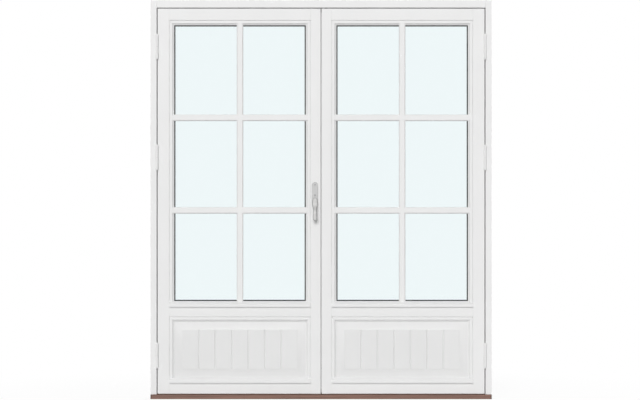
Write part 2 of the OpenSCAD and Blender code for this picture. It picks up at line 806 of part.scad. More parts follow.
// Slot that the thumb piece moves in, from the bolt out of the edge
module thumb_way(z0, z1) {
    half = thumb_t / 2 + working_gap;
    block([flush_cx, leaf_mid - half, z0 - working_gap], [leaf_x1 + through, leaf_mid + half, z1 + working_gap]);
}
module thumb_ways() {
    thumb_way(top_thumb_z, top_thumb_z + thumb_h + flush_throw);
    thumb_way(bottom_thumb_z - flush_throw, bottom_thumb_z + thumb_h);
}
module flush_plate_blanks(past = 0) {
    top_mid = top_thumb_z + (thumb_h + flush_throw) / 2;
    bottom_mid = bottom_thumb_z + (thumb_h - flush_throw) / 2;
    for (mid = [top_mid, bottom_mid])
        block([case_x1, leaf_mid - faceplate_w / 2, mid - flush_plate_h / 2],
              [leaf_x1 + past, leaf_mid + faceplate_w / 2, mid + flush_plate_h / 2]);
}
module flush_bolt_ways() {
    bore_r = flush_r + running_fit;
    flush_rod(flush_bolt_z1 - flush_len - working_gap, leaf_z1 + through, bore_r);
    flush_rod(leaf_z0 - through, flush_bolt_z0 + flush_len + working_gap, bore_r);
    thumb_ways();
    flush_plate_blanks(through);
}
module flush_bolt(z0, thumb_z) {
    color(STEEL) on_side(true) {
        flush_rod(z0, z0 + flush_len, flush_r);
        block([flush_cx, leaf_mid - thumb_t / 2, thumb_z],
              [leaf_x1 - working_gap, leaf_mid + thumb_t / 2, thumb_z + thumb_h]);
    }
}
module flush_bolt_faceplates() {
    color(STEEL) on_side(true) difference() {
        flush_plate_blanks();
        thumb_ways();
    }
}
// Each leaf has a seal in a groove behind its plates, and the right one lies a step further in
module seal_strip(step) {
    seal_y = leaf_mid + faceplate_w / 2 + seal_wood + step;
    block([case_x1, seal_y, leaf_z0 + seal_w], [leaf_x1 + seal_proud, seal_y + seal_w, leaf_z1 - seal_w]);
}
module meeting_seal(right) {
    color(RUBBER) on_side(right) seal_strip(right ? seal_step : 0);
}

// Drawing
module leaf_node(name, right) {
    if (name == "hinge_stile") hinge_stile(right);
    if (name == "meeting_stile") meeting_stile(right);
    if (name == "top_rail") rail(right, glass_z1, leaf_z1, bead_w, 0);
    if (name == "mid_rail") rail(right, panel_z1, glass_z0, bead_w, bead_w);
    if (name == "bottom_rail") rail(right, leaf_z0, panel_z0, 0, bead_w);
    if (name == "outer_pane") pane(right, glass_y);
    if (name == "inner_pane") pane(right, inner_pane_y);
    if (name == "glass_spacer") glass_spacer(right);
    if (name == "glass_gasket") glass_gasket(right);
    if (name == "glazing_tape") glazing_tape(right);
    if (name == "beads") beads(right);
    if (name == "glass_weather_bead") weather_bead(right, glass_z0);
    if (name == "panel") panel(right);
    if (name == "panel_weather_bead") weather_bead(right, panel_z0);
    if (name == "vertical_bar") vertical_bar(right);
    if (name == "upper_bar") cross_bar(right, upper_bar_z);
    if (name == "lower_bar") cross_bar(right, lower_bar_z);
    if (name == "leaf_hinge_halves") leaf_hinge_halves(right);
}
jamb(false);  // left_jamb
jamb(true);  // right_jamb
head();
threshold();
frame_gasket();
frame_hinge_halves();
hinge_pins();
flush_strike(head_z, 1);  // head_strike
flush_strike(threshold_h, -1);  // threshold_strike
for (name = LEAF_NODES) {
    leaf_node(name, false);
    leaf_node(name, true);
}
lock_case();
lock_faceplate();
lock_bolt();
lock_follower();
spindle();
backplate(false);  // outside_backplate
backplate(true);  // inside_backplate
lever(false);  // outside_lever
lever(true);  // inside_lever
strike_plate();
flush_bolt(flush_bolt_z1 - flush_len, top_thumb_z);  // top_flush_bolt
flush_bolt(flush_bolt_z0, bottom_thumb_z);  // bottom_flush_bolt
flush_bolt_faceplates();
meeting_seal(true);
meeting_seal(false);  // closing_seal
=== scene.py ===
"""Looks of the outswing patio door: finishes, eased edges, handle, screws and studio."""
import json
import math

import bmesh
import bpy
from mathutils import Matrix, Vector


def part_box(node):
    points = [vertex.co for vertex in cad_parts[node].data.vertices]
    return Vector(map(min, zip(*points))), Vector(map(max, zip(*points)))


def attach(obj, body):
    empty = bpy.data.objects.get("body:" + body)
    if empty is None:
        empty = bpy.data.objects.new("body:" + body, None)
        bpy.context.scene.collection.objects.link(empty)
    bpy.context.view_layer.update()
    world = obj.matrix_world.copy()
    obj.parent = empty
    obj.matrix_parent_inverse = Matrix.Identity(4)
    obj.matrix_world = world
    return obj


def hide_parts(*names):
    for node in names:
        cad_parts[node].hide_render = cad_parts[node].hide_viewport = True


bl_info = {
    "name": "Outswing patio door",
    "version": (1, 0, 0),
    "blender": (4, 5, 0),
    "location": "View3D > Sidebar > Patio door",
    "description": "Dresses a glazed double patio door and sets its studio",
    "category": "Object",
}

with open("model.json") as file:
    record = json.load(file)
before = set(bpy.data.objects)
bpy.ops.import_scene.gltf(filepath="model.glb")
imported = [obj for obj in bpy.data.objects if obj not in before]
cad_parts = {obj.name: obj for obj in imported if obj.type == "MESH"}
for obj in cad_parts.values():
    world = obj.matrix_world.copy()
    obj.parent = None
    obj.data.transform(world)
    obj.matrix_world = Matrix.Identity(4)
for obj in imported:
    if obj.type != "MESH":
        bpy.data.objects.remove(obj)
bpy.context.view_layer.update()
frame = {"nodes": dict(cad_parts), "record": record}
NODES = frame["nodes"]
BODY_OF = {name: body for body, names in frame["record"]["behaviour"]["bodies"].items() for name in names}
SIDES = ("left", "right")
UPRIGHTS = ("hinge_stile", "meeting_stile", "vertical_bar")
LEVELS = ("top_rail", "mid_rail", "bottom_rail", "upper_bar", "lower_bar")

# Hinges: heights of their joint lines, gap that the plates face each other across, and each plate's screws
# as height from the joint line and depth from the leaf's face
HINGE_LINES = (0.226, 1.260, 1.839)
HINGE_GAP = 0.004
HINGE_SCREWS = ((0.014, 0.012), (0.029, 0.028), (0.044, 0.012))

# Other screws: drop of the lower one from a backplate's top, and height of a flush bolt's faceplate
LOWER_SCREW_DROP = 0.068
FLUSH_PLATE_H = 0.078

# Screw head: sides, its top and cross recess as shares of its radius and height, and the seed of its turn
SCREW_SIDES = 24
SCREW_TOP = 0.8
RECESS_LONG = 1.15
RECESS_NARROW = 0.26
RECESS_DEEP = 1.2
TURN_SEED = 5

# Lever: places below the spindle where its form changes, and its sizes there
LEVER_HEAD = 0.020
LEVER_LEN = 0.099
SHOULDER_END = 0.012
WAIST_START = 0.040
CRANK_START = 0.006
CRANK_END = 0.062
SHOULDER_HALF = 0.0140
WAIST_HALF = 0.00925
TIP_HALF = 0.01025
LEVER_T = 0.011
LEVER_CRANK = 0.026
LEVER_CLEAR = 0.003

# Lever: points round a section, steps along it, turn of its round ends in degrees, squareness of a section
LEVER_SIDES = 40
END_STEPS = 12
SHANK_STEPS = 48
END_TURN = 87
SECTION_POWER = 0.72

# Lever: shares of its round ends after which it thins, and the square of the least share left
HEAD_ROUND = 0.75
TIP_ROUND = 0.6
THINNEST = 0.05

# Lever's hub: radius, eased foot, start of its neck, and flare into the lever
HUB_R = 0.009
HUB_FOOT = 0.0005
HUB_EASE = 0.0004
HUB_NECK = 0.0012
HUB_FLARE = 0.002

# Handle: painted shade and painted reflection darken its flanks: how squarely a surface faces the leaf where
# this darkening starts and ends, and the share of colour left
SHADE_FLANK_START = 0.45
SHADE_FLANK_END = 0.95
SHADE_FLANK_SHARE = 0.42

# Threshold: length of each sealed end, and its share of colour
SEALED_END = 0.012
SEALED_SHARE = 0.5

# Eased edges: angles of the flat joins that go and of the edges that are rounded, in degrees
FLAT_ANGLE = 0.5
SHARP_ANGLE = 25

# Studio: half width of the floor, its share of plain white near the door, its tone, the lamps' aim,
# the camera's sensor in millimetres and how far the camera sees
FLOOR_REACH = 30.0
FLOOR_WHITE = 0.88
FLOOR_TONE = 0.9
LAMP_AIM = (0, 0, 1.0)
SENSOR = 36.0
CLIP_END = 100.0


class DoorSizes(bpy.types.PropertyGroup):
    """Sizes of the dressed pieces"""
    timber_ease: bpy.props.FloatProperty(
        name="Timber edge", description="Radius of the sanded edges of the painted timber",
        default=0.0010, min=0.0002, max=0.003, unit="LENGTH")
    metal_ease: bpy.props.FloatProperty(
        name="Metal edge", description="Radius of the edges of the hinges, plates and weather beads",
        default=0.0006, min=0.0001, max=0.002, unit="LENGTH")
    plate_ease: bpy.props.FloatProperty(
        name="Backplate edge", description="Radius of the edge of the handle's backplates",
        default=0.0030, min=0.0005, max=0.0035, unit="LENGTH")
    screw_radius: bpy.props.FloatProperty(
        name="Screw radius", description="Radius of a screw's head",
        default=0.0036, min=0.002, max=0.005, unit="LENGTH")
    screw_proud: bpy.props.FloatProperty(
        name="Screw height", description="How far a screw's head stands out of its plate",
        default=0.0005, min=0.0002, max=0.001, unit="LENGTH")
    screw_inset: bpy.props.FloatProperty(
        name="Screw inset", description="Distance of an end screw from the end of its plate",
        default=0.0095, min=0.006, max=0.02, unit="LENGTH")


class DoorColours(bpy.types.PropertyGroup):
    """Colours of the finishes"""
    paint: bpy.props.FloatVectorProperty(
        name="Paint", description="White paint of the frame and the leaves",
        subtype="COLOR", size=3, default=(0.83, 0.83, 0.828), min=0, max=1)
    # The panels' white is a darker copy of the paint: painted shade for the panels' recess
    panel: bpy.props.FloatVectorProperty(
        name="Panel", description="White of the grooved panels",
        subtype="COLOR", size=3, default=(0.785, 0.785, 0.783), min=0, max=1)
    glass: bpy.props.FloatVectorProperty(
        name="Glass", description="Tint of the panes",
        subtype="COLOR", size=3, default=(0.924, 0.964, 0.970), min=0, max=1)
    rubber: bpy.props.FloatVectorProperty(
        name="Rubber", description="Black of the glass gaskets",
        subtype="COLOR", size=3, default=(0.016, 0.019, 0.020), min=0, max=1)
    seal: bpy.props.FloatVectorProperty(
        name="Seals", description="Light grey of the seals in the gaps round the leaves",
        subtype="COLOR", size=3, default=(0.60, 0.60, 0.60), min=0, max=1)
    backplate: bpy.props.FloatVectorProperty(
        name="Backplate", description="Satin alloy of the handle's backplates",
        subtype="COLOR", size=3, default=(0.51, 0.51, 0.51), min=0, max=1)
    lever: bpy.props.FloatVectorProperty(
        name="Lever", description="Satin alloy of the levers",
        subtype="COLOR", size=3, default=(0.54, 0.54, 0.535), min=0, max=1)
    screw: bpy.props.FloatVectorProperty(
        name="Screws", description="Dull grey of the screws",
        subtype="COLOR", size=3, default=(0.22, 0.22, 0.22), min=0, max=1)
    steel: bpy.props.FloatVectorProperty(
        name="Steel", description="Zinc plated steel of the lock, the bolts and the pins",
        subtype="COLOR", size=3, default=(0.42, 0.43, 0.44), min=0, max=1)
    wood_dark: bpy.props.FloatVectorProperty(
        name="Wood grain", description="Dark grain of the threshold",
        subtype="COLOR", size=3, default=(0.120, 0.060, 0.043), min=0, max=1)
    wood_light: bpy.props.FloatVectorProperty(
        name="Wood ground", description="Ground colour of the threshold",
        subtype="COLOR", size=3, default=(0.235, 0.121, 0.088), min=0, max=1)


class StudioSettings(bpy.types.PropertyGroup):
    """Camera and lamps"""
    view_width: bpy.props.FloatProperty(
        name="View width", description="Width of the picture at the leaves' face",
        default=3.341, min=2, max=8, unit="LENGTH")
    view_height: bpy.props.FloatProperty(
        name="Camera height", description="Height of the picture's middle",
        default=1.0385, min=0, max=3, unit="LENGTH")
    view_side: bpy.props.FloatProperty(
        name="Camera side", description="Sideways place of the picture's middle",
        default=-0.0057, min=-1, max=1, unit="LENGTH")
    distance: bpy.props.FloatProperty(
        name="Camera distance", description="Distance of the camera from the leaves' face",
        default=14.0, min=4, max=40, unit="LENGTH")
    key_place: bpy.props.FloatVectorProperty(
        name="Key lamp place", description="Where the soft lamp in front of the door stands",
        subtype="TRANSLATION", size=3, default=(-0.7, -5.0, 3.2))
    key_strength: bpy.props.FloatProperty(
        name="Key lamp", description="Strength of the soft lamp in front of the door", default=1.88, min=0)
    fill_place: bpy.props.FloatVectorProperty(
        name="Fill lamp place", description="Where the soft lamp behind the door stands",
        subtype="TRANSLATION", size=3, default=(1.6, 5.0, 3.4))
    fill_strength: bpy.props.FloatProperty(
        name="Fill lamp", description="Strength of the soft lamp behind the door", default=1.5, min=0)
    lamp_spread: bpy.props.FloatProperty(
        name="Lamp softness", description="Angle that each lamp fills", subtype="ANGLE",
        default=math.radians(25), min=0, max=math.pi)
    ambient: bpy.props.FloatProperty(
        name="Room light", description="Level of the even light all round", default=0.342, min=0, max=2)
    floor_bounce: bpy.props.FloatProperty(
        name="Floor bounce", description="Share of light that the floor throws back on the door",
        default=0.55, min=0, max=1)
    shadow_reach: bpy.props.FloatProperty(
        name="Shadow reach", description="Distance from the door at which the floor has faded to white",
        default=2.6, min=0.5, max=10, unit="LENGTH")


# Materials

def start_material(name, colour, roughness, metallic=0.0):
    """A new material with its shader, and the Object coordinates that its patterns read."""
    material = bpy.data.materials.new(name)
    material.use_nodes = True
    tree = material.node_tree
    shader = tree.nodes["Principled BSDF"]
    shader.inputs["Base Color"].default_value = (*colour, 1)
    shader.inputs["Roughness"].default_value = roughness
    shader.inputs["Metallic"].default_value = metallic
    return material, tree, shader


def stretched_noise(tree, stretch, detail=4.0, rough=0.55):
    """Noise over the Object coordinates, with its own number of waves a metre along each axis."""
    coordinates = tree.nodes.new("ShaderNodeTexCoord")
    mapping = tree.nodes.new("ShaderNodeMapping")
    mapping.inputs["Scale"].default_value = stretch
    noise = tree.nodes.new("ShaderNodeTexNoise")
    noise.inputs["Scale"].default_value = 1.0
    noise.inputs["Detail"].default_value = detail
    noise.inputs["Roughness"].default_value = rough
    tree.links.new(coordinates.outputs["Object"], mapping.inputs["Vector"])
    tree.links.new(mapping.outputs["Vector"], noise.inputs["Vector"])
    return noise.outputs["Fac"]


def ramp(tree, value, low, high, start=0.3, end=0.7):
    """Colours from low to high as a value goes from start to end."""
    node = tree.nodes.new("ShaderNodeValToRGB")
    node.color_ramp.elements[0].position = start
    node.color_ramp.elements[1].position = end
    node.color_ramp.elements[0].color = (*low, 1)
    node.color_ramp.elements[1].color = (*high, 1)
    tree.links.new(value, node.inputs["Fac"])
    return node.outputs["Color"]


def vary_roughness(tree, shader, value, low, high):
    """Roughness that wanders between two levels."""
    node = tree.nodes.new("ShaderNodeMapRange")
    node.inputs["To Min"].default_value = low
    node.inputs["To Max"].default_value = high
    tree.links.new(value, node.inputs["Value"])
    tree.links.new(node.outputs["Result"], shader.inputs["Roughness"])


def add_bump(tree, shader, value, strength, depth):
    """Surface relief of a depth in metres."""
    node = tree.nodes.new("ShaderNodeBump")
    node.inputs["Strength"].default_value = strength
    node.inputs["Distance"].default_value = depth
    tree.links.new(value, node.inputs["Height"])
    tree.links.new(node.outputs["Normal"], shader.inputs["Normal"])


def shade(colour, factor):
    """A colour made darker or lighter."""
    return tuple(min(1.0, channel * factor) for channel in colour)


def mottle(tree, shader, value, colour, darker, lighter):
    """Let a finish wander between two shares of its colour."""
    colours = ramp(tree, value, shade(colour, darker), shade(colour, lighter))
    tree.links.new(colours, shader.inputs["Base Color"])


def painted_timber(name, colour, stretch):
    """Satin paint with faint brush marks along the grain."""
    material, tree, shader = start_material(name, colour, 0.4)
    cloud = stretched_noise(tree, (5, 5, 5), detail=2)
    mottle(tree, shader, cloud, colour, darker=0.985, lighter=1.01)
    marks = stretched_noise(tree, stretch)
    vary_roughness(tree, shader, marks, low=0.34, high=0.48)
    add_bump(tree, shader, marks, strength=0.25, depth=0.0002)
    return material


def powder_coat(name, colour):
    """Sprayed finish with a fine orange peel."""
    material, tree, shader = start_material(name, colour, 0.38)
    cloud = stretched_noise(tree, (7, 7, 7), detail=2)
    mottle(tree, shader, cloud, colour, darker=0.99, lighter=1.01)
    peel = stretched_noise(tree, (900, 900, 900), detail=2)
    vary_roughness(tree, shader, peel, low=0.33, high=0.43)
    add_bump(tree, shader, peel, strength=0.2, depth=0.00015)
    return material


def clear_glass(name, colour):
    """Float glass with the faintest waver."""
    material, tree, shader = start_material(name, colour, 0.0)
    shader.inputs["Transmission Weight"].default_value = 1.0
    shader.inputs["IOR"].default_value = 1.45
    waver = stretched_noise(tree, (3, 3, 2), detail=1)
    add_bump(tree, shader, waver, strength=0.03, depth=0.0004)
    return material


def extruded_rubber(name, colour, dust_share):
    """Matt extruded rubber, with dust that lightens and darkens it by a share of its colour."""
    material, tree, shader = start_material(name, colour, 0.7)
    shader.inputs["Specular IOR Level"].default_value = 0.25
    dust = stretched_noise(tree, (60, 60, 60), detail=5)
    mottle(tree, shader, dust, colour, darker=1 - dust_share, lighter=1 + dust_share)
    vary_roughness(tree, shader, dust, low=0.6, high=0.85)
    pores = stretched_noise(tree, (1500, 1500, 1500), detail=1)
    add_bump(tree, shader, pores, strength=0.2, depth=0.0001)
    return material


def brushed_metal(name, colour, stretch, low, high):
    """Metal with fine brushing along one way."""
    material, tree, shader = start_material(name, colour, low, metallic=1.0)
    hairs = stretched_noise(tree, stretch, detail=3)
    mottle(tree, shader, hairs, colour, darker=0.93, lighter=1.06)
    vary_roughness(tree, shader, hairs, low, high)
    add_bump(tree, shader, hairs, strength=0.15, depth=0.00005)
    return material


def tinted(tree, shader, value, start, end, low):
    """Darken a finish to a share of its colour as a value falls from end to start."""
    colour = shader.inputs["Base Color"]
    share = tree.nodes.new("ShaderNodeMapRange")
    share.interpolation_type = "SMOOTHSTEP"
    share.inputs["From Min"].default_value = start
    share.inputs["From Max"].default_value = end
    share.inputs["To Min"].default_value = low
    scale = tree.nodes.new("ShaderNodeVectorMath")
    scale.operation = "SCALE"
    tree.links.new(value, share.inputs["Value"])
    tree.links.new(colour.links[0].from_socket, scale.inputs[0])
    tree.links.new(share.outputs["Result"], scale.inputs["Scale"])
    tree.links.new(scale.outputs["Vector"], colour)


def one_axis(tree, output, axis):
    """Size of a Texture Coordinate output along one axis, without its sign."""
    coordinates = tree.nodes.new("ShaderNodeTexCoord")
    split = tree.nodes.new("ShaderNodeSeparateXYZ")
    size = tree.nodes.new("ShaderNodeMath")
    size.operation = "ABSOLUTE"
    tree.links.new(coordinates.outputs[output], split.inputs[0])
    tree.links.new(split.outputs[axis], size.inputs[0])
    return size.outputs[0]


def shaded_handle_metal(name, colour):
    """Satin alloy, brushed on its faces, with painted shade and painted reflection darkening its flanks."""
    material = brushed_metal(name, colour, (600, 600, 30), low=0.68, high=0.80)
    tree = material.node_tree
    shader = tree.nodes["Principled BSDF"]
    # Painted shade: surfaces that face sideways rather than towards the leaf are made darker
    tinted(tree, shader, one_axis(tree, "Normal", "Y"), SHADE_FLANK_START, SHADE_FLANK_END, SHADE_FLANK_SHARE)
    return material


def oiled_hardwood(name, dark, light):
    """Brown hardwood with its grain along the threshold, and darker sealed ends."""
    material, tree, shader = start_material(name, light, 0.5)
    grain = stretched_noise(tree, (3, 260, 180), detail=6, rough=0.62)
    tree.links.new(ramp(tree, grain, dark, light, 0.34, 0.58), shader.inputs["Base Color"])
    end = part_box("threshold")[1].x
    tinted(tree, shader, one_axis(tree, "Object", "X"), end, end - SEALED_END, SEALED_SHARE)
    vary_roughness(tree, shader, grain, low=0.42, high=0.62)
    add_bump(tree, shader, grain, strength=0.35, depth=0.0004)
    return material


# Pieces

def finish_piece(piece, body, material):
    """Give a new piece its material and its body."""
    piece.data.materials.clear()
    piece.data.materials.append(material)
    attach(piece, body)
    return piece


def new_piece(name, mesh):
    """A new object in the scene."""
    piece = bpy.data.objects.new(name, mesh)
    bpy.context.scene.collection.objects.link(piece)
    return piece


def flatten(piece):
    """Turn a piece with modifiers into a plain mesh."""
    depsgraph = bpy.context.evaluated_depsgraph_get()
    mesh = bpy.data.meshes.new_from_object(piece.evaluated_get(depsgraph))
    mesh.name = piece.name
    piece.modifiers.clear()
    piece.data = mesh
    return piece


def eased_copy(node, radius, segments=2):
    """A copy of a CAD node with its sharp edges rounded, which stands for the node."""
    mesh = NODES[node].data.copy()
    work = bmesh.new()
    work.from_mesh(mesh)
    bmesh.ops.remove_doubles(work, verts=work.verts, dist=1e-6)
    bmesh.ops.dissolve_limit(work, angle_limit=math.radians(FLAT_ANGLE), verts=work.verts, edges=work.edges)
    for face in work.faces:
        face.smooth = True
    work.to_mesh(mesh)
    work.free()
    piece = new_piece(node + "_eased", mesh)
    bevel = piece.modifiers.new("Eased edges", "BEVEL")
    bevel.width = radius
    bevel.segments = segments
    bevel.limit_method = "ANGLE"
    bevel.angle_limit = math.radians(SHARP_ANGLE)
    bevel.use_clamp_overlap = True
    weighted = piece.modifiers.new("Flat faces", "WEIGHTED_NORMAL")
    weighted.keep_sharp = True
    flatten(piece)
    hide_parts(node)
    return piece


def dress_eased(nodes, radius, material, segments=2):
    """Nodes whose edges are rounded, in their finish."""
    for node in nodes:
        finish_piece(eased_copy(node, radius, segments), BODY_OF[node], material)


def dress_plain(nodes, material):
    """A node whose own shape is right keeps it, and gets its finish."""
    for node in nodes:
        NODES[node].data.materials.clear()
        NODES[node].data.materials.append(material)


def ease(s, start, end):
    """Smooth step from 0 to 1 between two places."""
    t = min(1.0, max(0.0, (s - start) / (end - start)))
    return t * t * (3 - 2 * t)


def rounded(value):
    """Cosine or sine of a section that lies between an ellipse and a box."""
    return math.copysign(abs(value) ** SECTION_POWER, value)


def full_turn(count):
    """Angles of a full turn in equal steps."""
    return [2 * math.pi * i / count for i in range(count)]


def bridge(work, loops):
    """Join loops of vertices with four-sided faces and close both ends."""
    for first, second in zip(loops, loops[1:]):
        for i in range(len(first)):
            j = (i + 1) % len(first)
            work.faces.new((first[i], first[j], second[j], second[i]))
    work.faces.new(list(reversed(loops[0])))
    work.faces.new(loops[-1])


def of_leaves(names):
    """The nodes of both leaves by these names."""
    return [f"{side}_{name}" for side in SIDES for name in names]


class PATIO_OT_timber(bpy.types.Operator):
    """Paint the frame, the stiles, the rails, the bars, the beads and the panels"""
    bl_idname = "patio.timber"
    bl_label = "Painted timber"

    def execute(self, context):
        sizes = context.scene.patio_sizes
        colours = context.scene.patio_colours
        upright = painted_timber("upright_paint", colours.paint, (420, 420, 9))
        level = painted_timber("level_paint", colours.paint, (9, 420, 420))
        # Painted shade: the panels get a darker copy of the paint for their recess
        panel = painted_timber("shaded_panel_paint", colours.panel, (420, 420, 9))
        dress_eased(["left_jamb", "right_jamb", *of_leaves(UPRIGHTS)], sizes.timber_ease, upright)
        dress_eased(["head", *of_leaves(LEVELS)], sizes.timber_ease, level)
        dress_eased(of_leaves(["beads"]), sizes.metal_ease, upright)
        dress_eased(of_leaves(["panel"]), sizes.timber_ease, panel)
        return {"FINISHED"}


class PATIO_OT_threshold(bpy.types.Operator):
    """Oil the hardwood threshold"""
    bl_idname = "patio.threshold"
    bl_label = "Threshold"

    def execute(self, context):
        sizes = context.scene.patio_sizes
        colours = context.scene.patio_colours
        wood = oiled_hardwood("oiled_hardwood", colours.wood_dark, colours.wood_light)
        dress_eased(["threshold"], sizes.timber_ease, wood)
        return {"FINISHED"}


class PATIO_OT_white_metal(bpy.types.Operator):
    """Coat the hinges and the weather beads"""
    bl_idname = "patio.white_metal"
    bl_label = "Hinges and weather beads"

    def execute(self, context):
        sizes = context.scene.patio_sizes
        colours = context.scene.patio_colours
        coat = powder_coat("white_powder_coat", colours.paint)
        names = of_leaves(["glass_weather_bead", "panel_weather_bead", "leaf_hinge_halves"])
        dress_eased([*names, "frame_hinge_halves"], sizes.metal_ease, coat)
        return {"FINISHED"}


class PATIO_OT_glass(bpy.types.Operator):
    """Glaze the leaves, with spacers, gaskets and seals"""
    bl_idname = "patio.glass"
    bl_label = "Glass and seals"

    def execute(self, context):
        colours = context.scene.patio_colours
        glass = clear_glass("float_glass", colours.glass)
        rubber = extruded_rubber("gasket_rubber", colours.rubber, 0.2)
        seal = extruded_rubber("seal_rubber", colours.seal, 0.03)
        mill = brushed_metal("spacer_mill_finish", colours.steel, (12, 400, 12), 0.3, 0.5)
        dress_plain(of_leaves(["outer_pane", "inner_pane"]), glass)
        dress_plain(of_leaves(["glass_gasket", "glazing_tape"]), rubber)
        dress_plain(["frame_gasket", "meeting_seal", "closing_seal"], seal)
        dress_plain(of_leaves(["glass_spacer"]), mill)
        return {"FINISHED"}


class PATIO_OT_lock(bpy.types.Operator):
    """Plate the lock, the bolts, the strikes and the hinge pins"""
    bl_idname = "patio.lock"
    bl_label = "Lock and bolts"

    def execute(self, context):
        sizes = context.scene.patio_sizes
        colours = context.scene.patio_colours
        zinc = brushed_metal("zinc_plate", colours.steel, (300, 300, 20), 0.42, 0.58)
        seen = ["lock_faceplate", "lock_bolt", "strike_plate", "flush_bolt_faceplates", "top_flush_bolt",
                "bottom_flush_bolt", "head_strike", "threshold_strike"]
        dress_eased(seen, sizes.metal_ease, zinc)
        dress_plain(["lock_case", "lock_follower", "spindle", "hinge_pins"], zinc)
        return {"FINISHED"}


class PATIO_OT_handle(bpy.types.Operator):
    """Finish the backplates and the levers"""
    bl_idname = "patio.handle"
    bl_label = "Handle"

    def execute(self, context):
        sizes = context.scene.patio_sizes
        colours = context.scene.patio_colours
        # Both finishes carry painted shade and painted reflection on their flanks
        plate = shaded_handle_metal("satin_plate_painted_shade", colours.backplate)
        lever = shaded_handle_metal("satin_lever_painted_shade", colours.lever)
        dress_eased(["outside_backplate", "inside_backplate"], sizes.plate_ease, plate, 4)
        for node, out in (("outside_lever", -1), ("inside_lever", 1)):
            piece = new_piece(node + "_cast", self.lever_mesh(node, out))
            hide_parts(node)
            finish_piece(piece, BODY_OF[node], lever)
        return {"FINISHED"}

    def lever_mesh(self, node, out):
        """A crowned lever that cranks away from the leaf; out is the way that it faces along Y."""
        low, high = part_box(node)
        root_y = low.y if out > 0 else high.y
        spindle = Vector(((low.x + high.x) / 2, root_y, low.z + LEVER_LEN))
        plate_low, plate_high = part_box(node.replace("lever", "backplate"))
        back = plate_high.y - plate_low.y + LEVER_CLEAR
        work = bmesh.new()
        loops = []
        for s in self.stations():
            half, thick = self.section(s)
            middle = back + LEVER_T / 2 + LEVER_CRANK * ease(s, CRANK_START, CRANK_END)
            loop = []
            for angle in full_turn(LEVER_SIDES):
                across = half * rounded(math.cos(angle))
                deep = thick / 2 * rounded(math.sin(angle))
                loop.append(work.verts.new(spindle + Vector((across, out * (middle + deep), -s))))
            loops.append(loop)
        bridge(work, loops)
        hub = [(HUB_FOOT, HUB_R - HUB_EASE), (HUB_NECK, HUB_R),
               (back - HUB_FLARE / 2, HUB_R), (back + HUB_FLARE, HUB_R + HUB_FLARE)]
        rings = []
        for depth, radius in hub:
            ring = []
            for angle in full_turn(LEVER_SIDES):
                spot = Vector((radius * math.cos(angle), out * depth, radius * math.sin(angle)))
                ring.append(work.verts.new(spindle + spot))
            rings.append(ring)
        bridge(work, rings)
        bmesh.ops.recalc_face_normals(work, faces=work.faces)
        for face in work.faces:
            face.smooth = len(face.verts) == 4
        mesh = bpy.data.meshes.new(node + "_cast")
        work.to_mesh(mesh)
        work.free()
        return mesh

    def stations(self):
        """Places along the lever, closer together in its round ends."""
        turn = [END_TURN * i / END_STEPS for i in range(END_STEPS + 1)]
        head = [-LEVER_HEAD * math.cos(math.radians(90 - END_TURN + a)) for a in turn]
        tip = [LEVER_LEN - TIP_HALF * (1 - math.sin(math.radians(a))) for a in turn]
        shank = [(LEVER_LEN - TIP_HALF) * i / SHANK_STEPS for i in range(1, SHANK_STEPS)]
        return head + shank + tip

    def section(self, s):
        """Half width and thickness of the lever at a place along it."""
        half = SHOULDER_HALF + (WAIST_HALF - SHOULDER_HALF) * ease(s, SHOULDER_END, WAIST_START)
        half += (TIP_HALF - WAIST_HALF) * ease(s, WAIST_START, LEVER_LEN)
        above = max(0.0, -s) / LEVER_HEAD
        below = max(0.0, s - LEVER_LEN + TIP_HALF) / TIP_HALF
        half *= math.sqrt(1 - above * above) * math.sqrt(1 - below * below)
        end = max(0.0, above - HEAD_ROUND) / (1 - HEAD_ROUND)
        end += max(0.0, below - TIP_ROUND) / (1 - TIP_ROUND)
        return half, LEVER_T * math.sqrt(max(THINNEST, 1 - end * end))


